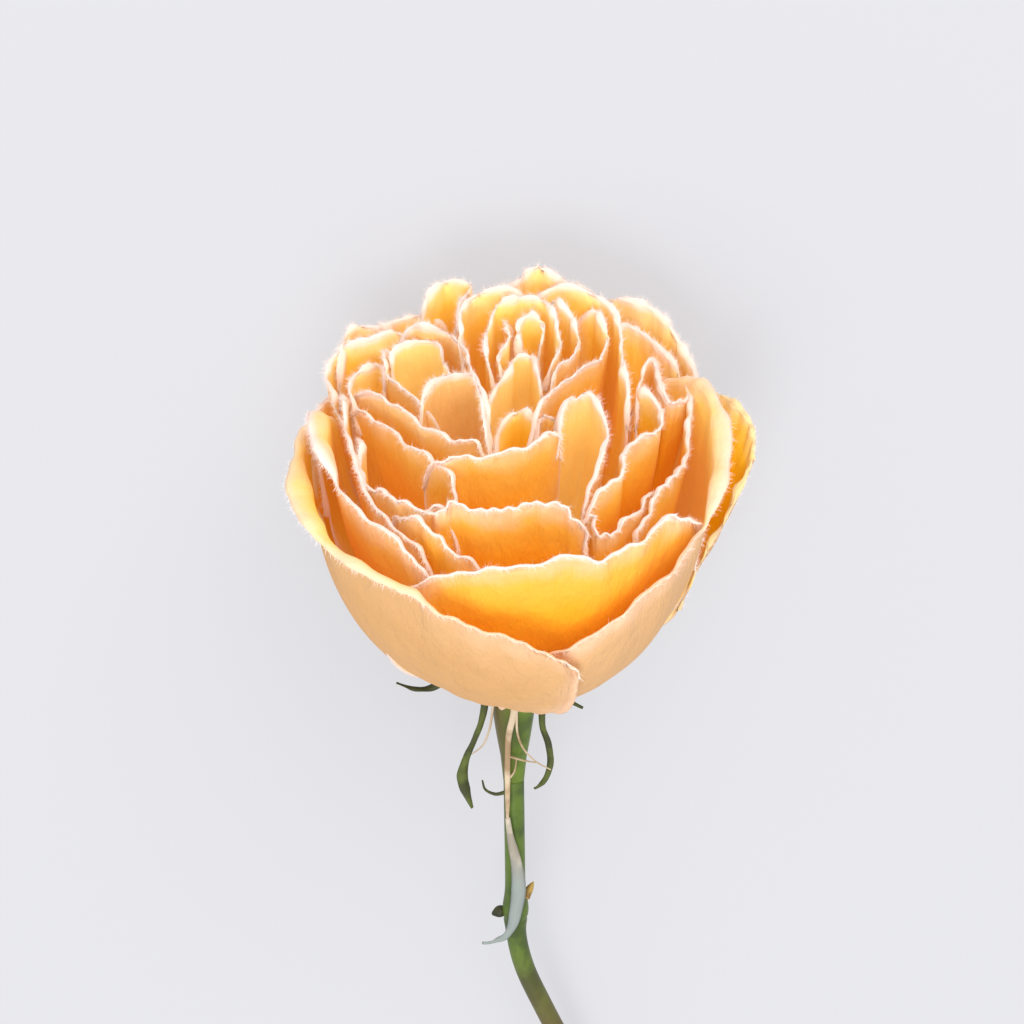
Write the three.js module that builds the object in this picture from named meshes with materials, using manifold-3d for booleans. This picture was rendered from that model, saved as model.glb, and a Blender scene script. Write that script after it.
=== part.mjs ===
// A full garden rose, cut on a long stem and laid on its side.
//
// Millimetres, +Z up. Every petal is one closed sheet. The head is modelled in its own frame,
// with its origin where the petals are attached, +Z along the head's axis and +Y towards the side
// that lies on the table. One turn and one lift then lay the whole flower down.
import * as THREE from 'three';
import { mergeVertices } from 'three/addons/utils/BufferGeometryUtils.js';
import Module from 'manifold-3d';

const wasm = await Module();
wasm.setup();

// ---------------------------------------------------------------------------
// Driving dimensions
// ---------------------------------------------------------------------------

const HEAD_TILT = 21; // degrees that the head's axis points up from the table
const HEAD_LIFT = 27.4; // height of the petals' attachment above the table
const PETAL_THICKNESS = 0.6;
const PETAL_GAP = 0.3; // clear space kept between neighbouring pieces
const WELD = 0.01; // corners nearer than this are joined after a cut
const SPAN_STEPS = 1; // steps across each stretch between two rim points
const RISE_STEPS = 4; // steps from a petal's foot up to its rim
const LIP_STEPS = 2; // steps around a rolled lip
const LIP_TURN = THREE.MathUtils.degToRad(135); // how far a lip rolls outwards

const FOOT_RADIUS = 5.6; // where the outermost petal is attached
const FOOT_RADIUS_STEP = 0.085; // each petal further in is attached this much nearer the axis
const FOOT_RISE_STEP = 0.3; // and this much higher
const FOOT_SPREAD = 0.3; // part of the rim's own sweep that the foot takes up
const GUARD_COUNT = 5;

const STEM_RADIUS = 2.35;
const STEM_SIDES = 12;
const STEM_STEPS = 26;
const STEM_LEAN = 11.5; // degrees between the head's axis and the stem
// The stem's middle line in the head's frame but turned level with the table: [across, along
// the table from the petals' attachment, height above the table]. It ends at the cut.
const STEM_ROUTE = [[0, -33.8, 21.9], [0.2, -50, 19.2], [0.4, -66, 16.6], [0.6, -76, 14.9], [2.4, -85, 13.4],
  [7, -97, 11.2], [17, -120, 6.9], [27, -144, 2.8], [29, -149, 2.2]];
// The swelling where a leaf once grew, with its bud on one side and the leaf's stub on the other.
const NODE_AT = [0.4, -69, 16];
const NODE_RADII = [3.1, 6.5, 3];
const BUD_AT = [-3.9, -70, 15.8];
const BUD_RADII = [1.5, 1.7, 1.2];
const STUB_AT = [3.6, -63.6, 17];
const STUB_RADIUS = 1.2;
const STUB_LENGTH = 4.4;
const STUB_SPLAY = 26; // degrees away from the stem

// Outline of the hip: [distance down the stem from the petals' attachment, radius]
const HIP_OUTLINE = [[-1, 4.8], [3, 5.6], [9, 5.5], [14, 4.9], [19, 4.3], [23, 3.75], [28, 3.05], [33.9, 2.45]];

// Sepals and the dried bract: middle lines in the head's frame and widths along them.
const SEPAL_THICKNESS = 0.6;
const SEPALS = [
  { name: 'sepal_left', widths: [3.2, 2.4, 1.5, 1.2, 1.1, 1.4, 2.4, 2.2, 0.6], facing: [0, -1, 0.3],
    route: [[-5.2, -1, -3.5], [-6.6, -3, -8], [-6.4, -4.5, -13], [-7.2, -5, -18], [-8.6, -5, -23],
      [-10.6, -5.2, -29], [-11.5, -5.6, -34], [-10.9, -6, -38], [-9.4, -6.4, -43.5]] },
  { name: 'sepal_right', widths: [3.2, 2.2, 1.4, 1.2, 1.3, 1.3, 1, 0.6], facing: [0, -1, 0.3],
    route: [[5.4, -1, -3.5], [6.7, -3, -8], [6.3, -4.5, -13], [6.3, -5, -19], [7.7, -5, -25],
      [8.1, -5.4, -31], [6.4, -6, -36], [4.6, -6.2, -37.5]] },
  { name: 'sepal_back_left', widths: [3.2, 2.6, 2, 1.4, 0.9, 0.6], facing: [0.3, -0.4, 1],
    route: [[-4.2, 3.6, -3], [-9, 5, -8.5], [-14, 5, -13.5], [-18.5, 4, -16.3], [-22, 3.4, -16],
      [-26, 3, -13.8]] },
  { name: 'sepal_back_right', widths: [3.2, 2.6, 1.9, 1.3, 0.6], facing: [-0.3, -0.4, 1],
    route: [[4.2, 3.6, -3], [6.2, 5, -9.5], [8.4, 4.4, -16], [11.2, 3.6, -19], [15.4, 3, -21.4]] },
  { name: 'sepal_front', widths: [2.6, 1.4, 1.1, 1.1, 0.9, 0.5], facing: [0, -1, 0.2],
    route: [[1, -7.4, -5], [0.2, -8.4, -11], [-1.1, -9, -18], [-1.4, -9.6, -26], [-1.4, -10.6, -33],
      [-1.4, -11.4, -37.5]] },
];
const BRACT = { name: 'dried_bract', widths: [0.9, 1.6, 2.4, 3.2, 2.8, 1.8, 1.2, 0.5], facing: [0, -1, 0.2],
  route: [[-1.4, -12, -41], [-0.6, -13.2, -47], [0.6, -14.4, -53], [1.1, -15.8, -60], [0.4, -17.5, -66],
    [-0.9, -18.7, -71], [-3.6, -18.9, -74], [-7.2, -18.4, -75.5]] };

const STAMEN_COUNT = 9;
const STAMEN_RING = 1.15;
const STAMEN_LENGTH = 9;
const HEART_FLOOR = 14; // height of the ring that carries the stamens

// ---------------------------------------------------------------------------
// Petals, from the outside in. Each rim is a smooth line through [x, y, height] points in the
// head's frame. cup says how the sheet rises: under 90 it flares, over 90 it closes over. lip is
// how far the edge rolls outwards at each rim point.
// ---------------------------------------------------------------------------

const PETALS = [
  // five guard petals
  { name: 'guard_front_left', cup: 88, lip: [0, 1, 4, 7, 5, 4, 3, 2, 1, 0, 0, 0],
    rim: [[-38, 24, 42], [-43, 14, 49], [-43, 3, 50], [-41, -10, 50], [-38, -21, 51], [-31, -31, 51],
      [-21, -38, 50], [-14, -41, 47], [-7, -43, 44], [2, -44, 41], [9, -43, 35], [13, -40, 27]] },
  { name: 'guard_front_right', cup: 88, lip: [0, 0, 0, 0, 0, 1, 4, 5, 4, 3, 0],
    rim: [[-8, -40, 25], [3, -42, 29], [11, -41, 35], [21, -37, 43], [30, -30, 46], [36, -20, 48],
      [40, -9, 51], [41, 3, 55], [39, 13, 59], [35, 20, 56], [28, 26, 50]] },
  { name: 'guard_right', cup: 80, lip: [],
    rim: [[35, -3, 18], [42, 4, 27], [47, 9, 35], [50, 13, 42], [50, 18, 46], [47, 23, 48],
      [41, 31, 46], [32, 38, 42], [22, 41, 35]] },
  { name: 'guard_back', cup: 84, lip: [],
    rim: [[30, 31, 32], [25, 39, 42], [15, 44, 49], [4, 46, 51], [-7, 46, 51], [-18, 42, 48],
      [-26, 36, 42], [-29, 29, 33]] },
  { name: 'guard_back_left', cup: 86, lip: [],
    rim: [[-37, -2, 28], [-42, 6, 38], [-41, 16, 44], [-37, 26, 45], [-30, 35, 45], [-19, 41, 42],
      [-9, 42, 34]] },

  // second row
  { name: 'second_front', cup: 90, lip: [0, 0, 0, 0, 0, 0, 0, 1, 2, 1, 0],
    rim: [[-27, -27, 34], [-21, -33, 45], [-13, -36, 52], [-3, -38, 56], [9, -37, 57], [18, -34, 55],
      [25, -29, 56], [32, -21, 54], [37, -14, 45], [37, -8, 33]] },
  { name: 'second_left', cup: 88, lip: [2, 6, 5, 1, 0, 0, 0, 0, 0],
    rim: [[-36, 16, 48], [-38, 9, 55], [-38, 0, 56], [-35, -11, 55], [-30, -21, 55], [-23, -29, 55],
      [-18, -32, 51], [-15, -33, 46], [-12, -33, 36]] },
  { name: 'second_back_left', cup: 88, lip: [],
    rim: [[-39, 2, 40], [-41, 10, 47], [-41, 18, 50], [-38, 25, 49], [-32, 32, 50], [-22, 37, 50],
      [-12, 39, 42]] },
  { name: 'second_back', cup: 88, lip: [],
    rim: [[-20, 33, 44], [-12, 39, 54], [-2, 41, 60], [8, 41, 60], [17, 38, 55], [22, 33, 44]] },
  { name: 'second_back_right', cup: 88, lip: [0, 0, 1, 2, 2, 1, 0],
    rim: [[13, 36, 56], [20, 36, 66], [28, 35, 65], [32, 33, 62], [35, 30, 58], [38, 25, 55],
      [38, 16, 46]] },
  { name: 'second_right', cup: 90, lip: [],
    rim: [[36, 25, 50], [37, 18, 55], [36, 10, 55], [35, 2, 53], [33, -6, 53], [29, -13, 55],
      [26, -20, 54], [24, -25, 50], [20, -28, 42]] },

  // third row
  { name: 'third_left', cup: 90, lip: [],
    rim: [[-35, 18, 52], [-35, 12, 58], [-34, 5, 57], [-32, -5, 55], [-29, -14, 54], [-23, -23, 53],
      [-18, -28, 50], [-14, -29, 42]] },
  { name: 'third_front_left', cup: 92, lip: [],
    rim: [[-25, -16, 48], [-22, -20, 54], [-18, -25, 56], [-14, -28, 54], [-9, -31, 52],
      [-4, -31, 44]] },
  { name: 'third_front', cup: 92, lip: [],
    rim: [[-19, -19, 50], [-15, -24, 58], [-11, -23, 60], [-6, -25, 59], [-1, -25, 60],
      [4, -24, 61], [9, -25, 60], [13, -26, 57], [15, -26, 48]] },
  { name: 'third_front_right', cup: 92, lip: [],
    rim: [[12, -24, 48], [15, -23, 56], [17, -26, 54], [20, -25, 54], [24, -19, 54], [27, -12, 53],
      [28, -5, 46]] },
  { name: 'third_right', cup: 90, lip: [],
    rim: [[13, -23, 52], [17, -19, 59], [21, -14, 60], [22, -7, 60], [27, -1, 59], [30, 7, 58],
      [27, 12, 60], [24, 14, 58]] },
  { name: 'third_right_fold', cup: 88, lip: [],
    rim: [[25, 9, 57], [26, 16, 61], [29, 21, 61], [30, 17, 59], [32, 12, 57], [35, 14, 56],
      [36, 20, 57], [34, 25, 54]] },
  { name: 'third_back_right', cup: 86, lip: [],
    rim: [[18, 30, 58], [23, 31, 63], [27, 31, 61], [31, 29, 58], [34, 26, 56], [35, 20, 50]] },
  { name: 'third_back', cup: 88, lip: [],
    rim: [[-11, 34, 58], [-4, 36, 67], [1, 37, 70], [5, 37, 74], [9, 37, 71], [15, 36, 68],
      [20, 34, 65], [24, 31, 56]] },
  { name: 'third_back_left', cup: 88, lip: [],
    rim: [[-37, 22, 52], [-36, 29, 59], [-34, 32, 62], [-28, 33, 61], [-24, 33, 63], [-18, 33, 64],
      [-12, 33, 58]] },

  // left quarter
  { name: 'left_outer', cup: 88, lip: [],
    rim: [[-33, 8, 48], [-36, 13, 53], [-38, 18, 55], [-39, 24, 57], [-35, 28, 60], [-30, 29, 61],
      [-25, 29, 63], [-19, 29, 58]] },
  { name: 'left_front_outer', cup: 92, lip: [],
    rim: [[-32, 8, 50], [-31, 1, 55], [-31, -5, 54], [-28, -12, 54], [-24, -17, 56], [-19, -21, 57],
      [-14, -22, 57], [-11, -23, 50]] },
  { name: 'left_front_middle', cup: 92, lip: [],
    rim: [[-33, 16, 52], [-32, 12, 55], [-27, 6, 56], [-21, -2, 58], [-16, -9, 59], [-12, -15, 59],
      [-10, -20, 54]] },
  { name: 'left_front_inner', cup: 92, lip: [],
    rim: [[-34, 20, 52], [-31, 15, 57], [-24, 8, 60], [-18, 0, 61], [-13, -6, 62], [-7, -8, 63],
      [-4, -10, 58]] },
  { name: 'left_back_curl', cup: 88, lip: [],
    rim: [[-32, 12, 54], [-34, 18, 57], [-32, 23, 57], [-29, 25, 57], [-27, 22, 58], [-27, 17, 56]] },
  { name: 'left_inner_fold', cup: 88, lip: [],
    rim: [[-26, 28, 60], [-27, 24, 61], [-26, 19, 60], [-23, 13, 60], [-19, 8, 60], [-14, 4, 57]] },
  { name: 'left_heart', cup: 86, lip: [],
    rim: [[-25, 18, 57], [-25, 23, 62], [-21, 25, 63], [-16, 23, 64], [-14, 17, 64], [-12, 12, 62]] },
  { name: 'left_heart_cup', cup: 86, lip: [],
    rim: [[-19, 3, 60], [-17, 9, 64], [-12, 11, 65], [-8, 9, 66], [-6, 1, 66], [-5, -7, 63]] },
  { name: 'left_divider', cup: 88, lip: [],
    rim: [[-25, 27, 61], [-20, 27, 66], [-14, 24, 66], [-10, 18, 66], [-8, 11, 66], [-6, 3, 66],
      [-4, -4, 63]] },

  // back quarter, a swirl that opens towards the heart
  { name: 'back_left_curl', cup: 88, lip: [],
    rim: [[-19, 27, 62], [-19, 31, 66], [-17, 34, 70], [-13, 36, 71], [-9, 34, 71], [-11, 31, 69],
      [-12, 27, 67]] },
  { name: 'back_outer', cup: 88, lip: [],
    rim: [[2, 33, 66], [10, 34, 71], [17, 32, 70], [21, 29, 68], [22, 24, 66], [22, 18, 64],
      [23, 12, 63], [23, 5, 60]] },
  { name: 'back_left_arc', cup: 88, lip: [],
    rim: [[-10, 16, 64], [-11, 22, 67], [-11, 28, 69], [-8, 32, 70], [-3, 33, 71], [3, 33, 71]] },
  { name: 'back_right_arc', cup: 88, lip: [],
    rim: [[5, 32, 70], [9, 30, 70], [12, 27, 68], [13, 22, 66], [12, 17, 65], [9, 14, 65],
      [7, 9, 63]] },
  { name: 'back_fold', cup: 88, lip: [],
    rim: [[13, 31, 67], [17, 29, 68], [19, 24, 66], [18, 19, 64], [14, 14, 64], [8, 7, 65],
      [5, 1, 65], [3, -4, 62]] },
  { name: 'back_inner', cup: 88, lip: [],
    rim: [[-4, 12, 64], [-6, 18, 66], [-5, 24, 68], [-3, 29, 70], [1, 31, 70], [5, 31, 70],
      [8, 28, 69], [9, 23, 67], [9, 18, 66], [6, 14, 64]] },
  { name: 'back_inner_fold', cup: 88, lip: [],
    rim: [[-2, 13, 62], [-3, 18, 65], [-1, 22, 66], [-2, 26, 68], [0, 28, 68]] },
  { name: 'back_curl', cup: 88, lip: [],
    rim: [[1, 21, 64], [1, 26, 67], [4, 28, 68], [6, 25, 67], [5, 22, 66]] },
  { name: 'back_tongue', cup: 88, lip: [],
    rim: [[-6, 3, 60], [-4, 9, 62], [-1, 15, 63], [1, 19, 64], [4, 18, 64], [5, 12, 63],
      [6, 6, 60]] },

  // front and heart
  { name: 'front_inner', cup: 92, lip: [],
    rim: [[-18, -8, 56], [-14, -12, 61], [-8, -12, 63], [0, -12, 64], [6, -9, 65], [9, -3, 65]] },
  { name: 'front_flap', cup: 90, lip: [],
    rim: [[8, -6, 62], [11, 3, 65], [15, 5, 65], [18, -3, 63], [17, -12, 61], [14, -19, 57],
      [12, -21, 50]] },
  { name: 'heart_curl_left', cup: 90, lip: [],
    rim: [[-4, -3, 58], [-1, 2, 61], [2, 3, 62], [4, 0, 61], [3, -4, 59]] },
  { name: 'heart_curl_right', cup: 90, lip: [],
    rim: [[4, -4, 60], [5, 1, 62], [8, 0, 62], [9, -4, 60]] },
];

// ---------------------------------------------------------------------------
// Helpers
// ---------------------------------------------------------------------------

const rad = THREE.MathUtils.degToRad;
const X = new THREE.Vector3(1, 0, 0);

// Position-only geometry from grid corners and triangles, with shared vertices.
function geometryFrom(points, triangles) {
  const geometry = new THREE.BufferGeometry();
  geometry.setAttribute('position', new THREE.Float32BufferAttribute(points.flatMap((p) => p.toArray()), 3));
  geometry.setIndex(triangles.flat());
  return geometry;
}

function toSolid(source) {
  const bare = source.clone();
  bare.deleteAttribute('normal');
  bare.deleteAttribute('uv');
  const merged = mergeVertices(bare, 1e-5);
  const mesh = new wasm.Mesh({
    numProp: 3,
    vertProperties: Float32Array.from(merged.attributes.position.array),
    triVerts: Uint32Array.from(merged.index.array),
  });
  return new wasm.Manifold(mesh);
}

function toGeometry(solid) {
  const mesh = solid.getMesh();
  const geometry = new THREE.BufferGeometry();
  geometry.setAttribute('position', new THREE.Float32BufferAttribute(mesh.vertProperties, 3));
  geometry.setIndex(Array.from(mesh.triVerts));
  return weld(geometry);
}

// Corners closer than the weld distance become one, and the triangles that this flattens go, so
// that a cut leaves no slivers.
function weld(geometry) {
  const merged = mergeVertices(geometry, WELD);
  const corners = merged.index.array;
  const triangles = new Map();
  for (let i = 0; i < corners.length; i += 3) {
    const [a, b, c] = corners.slice(i, i + 3);
    if (a === b || b === c || c === a) continue;
    const key = [a, b, c].sort((p, q) => p - q).join();
    if (triangles.has(key)) triangles.delete(key);
    else triangles.set(key, [a, b, c]);
  }
  merged.setIndex([...triangles.values()].flat());
  return merged;
}

// The biggest body of a solid, so that a cut never leaves crumbs behind.
function biggest(solid) {
  return solid.decompose().reduce((best, piece) => (piece.volume() > best.volume() ? piece : best));
}

// What is left of a solid once others are cut away from it.
function clearOf(solid, others) {
  return biggest(others.reduce((rest, other) => rest.subtract(other), solid));
}

function mesh(name, geometry, colour, roughness = 0.6) {
  const material = new THREE.MeshStandardMaterial({ color: colour, roughness, metalness: 0 });
  material.flatShading = true;
  const result = new THREE.Mesh(geometry, material);
  result.name = name;
  return result;
}

// ---------------------------------------------------------------------------
// Petal sheets
// ---------------------------------------------------------------------------

// Bearings of the rim points around the head's axis, unwrapped, so that the foot can follow them.
function rimSweep(rim) {
  const bearings = [Math.atan2(rim[0][1], rim[0][0])];
  for (let i = 1; i < rim.length; i += 1) {
    const raw = Math.atan2(rim[i][1], rim[i][0]);
    const last = bearings[i - 1];
    bearings.push(last + Math.atan2(Math.sin(raw - last), Math.cos(raw - last)));
  }
  return bearings;
}

// A grid of points on a petal: rows rise from foot to rim and go on around the lip.
function petalGrid(petal, order) {
  const { rim, cup, lip } = petal;
  const curve = new THREE.CatmullRomCurve3(rim.map((p) => new THREE.Vector3(...p)), false, 'centripetal');
  const columns = SPAN_STEPS * (rim.length - 1);
  const bearings = rimSweep(rim);
  const middle = (bearings[0] + bearings[rim.length - 1]) / 2;
  const sweep = THREE.MathUtils.clamp(bearings[rim.length - 1] - bearings[0], -2.6, 2.6);
  const footRadius = FOOT_RADIUS - FOOT_RADIUS_STEP * order;
  const footHeight = FOOT_RISE_STEP * order;
  const rise = rad(cup);
  const hasLip = lip.length > 0;
  const rows = RISE_STEPS + (hasLip ? LIP_STEPS : 0);
  const grid = [];
  for (let i = 0; i <= columns; i += 1) {
    const u = i / columns;
    const top = curve.getPoint(u);
    const bearing = middle + (u - 0.5) * sweep * FOOT_SPREAD * 2;
    const foot = new THREE.Vector3(footRadius * Math.cos(bearing), footRadius * Math.sin(bearing), footHeight);
    const column = [];
    for (let j = 0; j <= RISE_STEPS; j += 1) {
      const v = (j / RISE_STEPS) * rise;
      const out = Math.sin(v) / Math.sin(rise);
      const up = (1 - Math.cos(v)) / (1 - Math.cos(rise));
      column.push(new THREE.Vector3(
        THREE.MathUtils.lerp(foot.x, top.x, out),
        THREE.MathUtils.lerp(foot.y, top.y, out),
        THREE.MathUtils.lerp(foot.z, top.z, up),
      ));
    }
    if (hasLip) {
      const at = Math.min(u * (rim.length - 1), rim.length - 1.001);
      const width = THREE.MathUtils.lerp(lip[Math.floor(at)] ?? 0, lip[Math.floor(at) + 1] ?? 0, at % 1);
      const roll = Math.max(width, 0.4) / LIP_TURN;
      const away = new THREE.Vector3(top.x, top.y, 0).normalize();
      for (let j = 1; j <= LIP_STEPS; j += 1) {
        const turn = (j / LIP_STEPS) * LIP_TURN;
        const point = top.clone().addScaledVector(away, roll * (1 - Math.cos(turn)));
        point.z += roll * Math.sin(turn);
        column.push(point);
      }
    }
    grid.push(column);
  }
  return { grid, columns, rows };
}

// Both faces and the four edges of a sheet of the given thickness, laid around the grid.
function sheetSolid({ grid, columns, rows }, thickness) {
  const normals = grid.map((column, i) => column.map((_, j) => {
    const across = grid[Math.min(i + 1, columns)][j].clone().sub(grid[Math.max(i - 1, 0)][j]);
    const along = grid[i][Math.min(j + 1, rows)].clone().sub(grid[i][Math.max(j - 1, 0)]);
    return across.cross(along).normalize();
  }));
  const points = [];
  const index = (side, i, j) => side * (columns + 1) * (rows + 1) + i * (rows + 1) + j;
  for (const side of [1, -1]) {
    for (let i = 0; i <= columns; i += 1) {
      for (let j = 0; j <= rows; j += 1) {
        points.push(grid[i][j].clone().addScaledVector(normals[i][j], (side * thickness) / 2));
      }
    }
  }
  const triangles = [];
  const quad = (a, b, c, d) => triangles.push([a, b, c], [a, c, d]);
  for (let i = 0; i < columns; i += 1) {
    for (let j = 0; j < rows; j += 1) {
      quad(index(0, i, j), index(0, i + 1, j), index(0, i + 1, j + 1), index(0, i, j + 1));
      quad(index(1, i, j), index(1, i, j + 1), index(1, i + 1, j + 1), index(1, i + 1, j));
    }
    quad(index(0, i, 0), index(1, i, 0), index(1, i + 1, 0), index(0, i + 1, 0));
    quad(index(0, i, rows), index(0, i + 1, rows), index(1, i + 1, rows), index(1, i, rows));
  }
  for (let j = 0; j < rows; j += 1) {
    quad(index(0, 0, j), index(0, 0, j + 1), index(1, 0, j + 1), index(1, 0, j));
    quad(index(0, columns, j), index(1, columns, j), index(1, columns, j + 1), index(0, columns, j + 1));
  }
  return toSolid(geometryFrom(points, triangles));
}

// Height above the table of a point in the head's frame.
function heightAboveTable(point) {
  return HEAD_LIFT - point.y * Math.cos(rad(HEAD_TILT)) + point.z * Math.sin(rad(HEAD_TILT));
}

// The table's upward direction seen from the head's frame.
const TABLE_UP = new THREE.Vector3(0, -Math.cos(rad(HEAD_TILT)), Math.sin(rad(HEAD_TILT)));

// Petals that would reach below the table are pressed flat against it.
function pressOnTable(grid, clearance) {
  for (const point of grid.flat()) {
    const below = clearance - heightAboveTable(point);
    if (below > 0) point.addScaledVector(TABLE_UP, below);
  }
}

function makePetals() {
  const kept = [];
  return PETALS.map((petal, order) => {
    const sheet = petalGrid(petal, order);
    pressOnTable(sheet.grid, PETAL_THICKNESS / 2);
    const whole = sheetSolid(sheet, PETAL_THICKNESS);
    const solid = clearOf(whole, kept);
    kept.push(sheetSolid(sheet, PETAL_THICKNESS + 2 * PETAL_GAP).add(whole));
    return mesh(petal.name, toGeometry(solid), order < GUARD_COUNT ? '#e6b27c' : '#f9b233');
  });
}

// ---------------------------------------------------------------------------
// Sepals, bract, hip, stem and the heart's inner parts
// ---------------------------------------------------------------------------

// A narrow ribbon along a route, as a grid of three points across.
function ribbonGrid({ route, widths, facing }) {
  const curve = new THREE.CatmullRomCurve3(route.map((p) => new THREE.Vector3(...p)), false, 'centripetal');
  const rows = 2 * (route.length - 1);
  const front = new THREE.Vector3(...facing).normalize();
  const grid = [[], [], []];
  for (let j = 0; j <= rows; j += 1) {
    const t = j / rows;
    const centre = curve.getPoint(t);
    const across = curve.getTangent(t).cross(front).normalize();
    const at = Math.min(t * (widths.length - 1), widths.length - 1.001);
    const width = THREE.MathUtils.lerp(widths[Math.floor(at)], widths[Math.floor(at) + 1], at % 1);
    [-0.5, 0, 0.5].forEach((side, i) => grid[i].push(centre.clone().addScaledVector(across, side * width)));
  }
  return { grid, columns: 2, rows };
}

function makeHip() {
  const outline = HIP_OUTLINE.map(([down, radius]) => new THREE.Vector2(radius, -down));
  outline.unshift(new THREE.Vector2(0, -HIP_OUTLINE[0][0]));
  outline.push(new THREE.Vector2(0, -HIP_OUTLINE.at(-1)[0]));
  const hip = new THREE.LatheGeometry(outline.reverse(), STEM_SIDES);
  hip.rotateX(Math.PI / 2 - rad(STEM_LEAN));
  const above = new THREE.BoxGeometry(30, 30, 20);
  above.translate(0, 0, 10 - PETAL_THICKNESS / 2 - PETAL_GAP);
  return toSolid(hip).subtract(toSolid(above));
}

// From the level frame of the stem's route into the head's frame.
function levelToHead(geometry) {
  geometry.translate(0, 0, -HEAD_LIFT);
  geometry.rotateX(rad(90 - HEAD_TILT));
  return geometry;
}

function makeStem() {
  const path = new THREE.CatmullRomCurve3(STEM_ROUTE.map((p) => new THREE.Vector3(...p)));
  const section = new THREE.Shape();
  section.absarc(0, 0, STEM_RADIUS, 0, 2 * Math.PI);
  const tube = new THREE.ExtrudeGeometry(section, {
    extrudePath: path, steps: STEM_STEPS, curveSegments: STEM_SIDES / 2, bevelEnabled: false,
  });
  const corners = tube.attributes.position;
  for (let i = 0; i < corners.count; i += 1) corners.setZ(i, Math.max(corners.getZ(i), 0));
  const node = new THREE.SphereGeometry(1, STEM_SIDES, 8);
  node.scale(...NODE_RADII);
  node.translate(...NODE_AT);
  return toSolid(levelToHead(tube)).add(toSolid(levelToHead(node)));
}

function makeBud() {
  const bud = new THREE.SphereGeometry(1, 8, 6);
  bud.scale(...BUD_RADII);
  bud.translate(...BUD_AT);
  return toSolid(levelToHead(bud));
}

function makeStub() {
  const stub = new THREE.ConeGeometry(STUB_RADIUS, STUB_LENGTH, 8);
  stub.rotateZ(-rad(STUB_SPLAY));
  stub.translate(...STUB_AT);
  return toSolid(levelToHead(stub));
}

function makeStamens() {
  let ring = toSolid(new THREE.CylinderGeometry(1.6, 1.6, 0.8, 12).rotateX(Math.PI / 2));
  for (let i = 0; i < STAMEN_COUNT; i += 1) {
    const bearing = (i / STAMEN_COUNT) * 2 * Math.PI;
    const filament = new THREE.CylinderGeometry(0.18, 0.18, STAMEN_LENGTH, 6);
    filament.rotateX(Math.PI / 2);
    filament.translate(STAMEN_RING * Math.cos(bearing), STAMEN_RING * Math.sin(bearing), STAMEN_LENGTH / 2);
    ring = ring.add(toSolid(filament));
  }
  return ring.translate([0, 0, HEART_FLOOR]);
}

function makeStyles() {
  const outline = [[0, 0], [0.5, 0], [0.35, 4], [0.6, 7], [0.5, 7.6], [0, 7.8]];
  const styles = new THREE.LatheGeometry(outline.map((p) => new THREE.Vector2(...p)), 8);
  styles.rotateX(Math.PI / 2);
  styles.translate(0, 0, HEART_FLOOR + 0.4 + PETAL_GAP);
  return toSolid(styles);
}

// ---------------------------------------------------------------------------
// The whole flower
// ---------------------------------------------------------------------------

const head = new THREE.Group();
const petals = makePetals();
head.add(...petals);

const petalSolids = petals.map((petal) => toSolid(petal.geometry));
const hip = makeHip();
const stem = makeStem();
head.add(mesh('hip', toGeometry(hip), '#6f7a2e'));
head.add(mesh('stem', toGeometry(stem), '#5c7326'));
for (const sepal of [...SEPALS, BRACT]) {
  const solid = sheetSolid(ribbonGrid(sepal), SEPAL_THICKNESS);
  const colour = sepal === BRACT || sepal.name === 'sepal_front' ? '#cfc3ac' : '#66702c';
  head.add(mesh(sepal.name, toGeometry(clearOf(solid, [hip, stem])), colour));
}
head.add(mesh('side_bud', toGeometry(clearOf(makeBud(), [stem])), '#3c4420'));
head.add(mesh('leaf_stub', toGeometry(clearOf(makeStub(), [stem])), '#8a6a3c'));
head.add(mesh('stamens', toGeometry(clearOf(makeStamens(), petalSolids)), '#d99a2b'));
head.add(mesh('styles', toGeometry(clearOf(makeStyles(), petalSolids)), '#c8b25a'));

head.rotation.x = -rad(90 - HEAD_TILT);
head.position.z = HEAD_LIFT;

// The origin is on the table, under the middle of the whole flower.
const flower = new THREE.Group();
flower.add(head);
flower.updateMatrixWorld(true);
const box = new THREE.Box3().setFromObject(flower, true);
const middle = box.getCenter(new THREE.Vector3());
flower.position.set(-middle.x, -middle.y, -box.min.z);

export default flower;
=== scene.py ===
# %% [markdown]
# # A full garden rose, laid on a table
#
# This script dresses a rose whose solid pieces already exist: every petal, sepal and stalk comes
# with its true place and size. What is missing is everything that makes it look alive: petals as
# thin as paper with ruffled, downy rims, colour that runs from deep orange in the folds to cream at
# the edges, bark, dried tips and light. Each step below first says what the real thing is like,
# then makes it.

# %% Load the frame
import math
import random

import bmesh
import bpy
import numpy as np
from mathutils import Matrix, Vector


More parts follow.
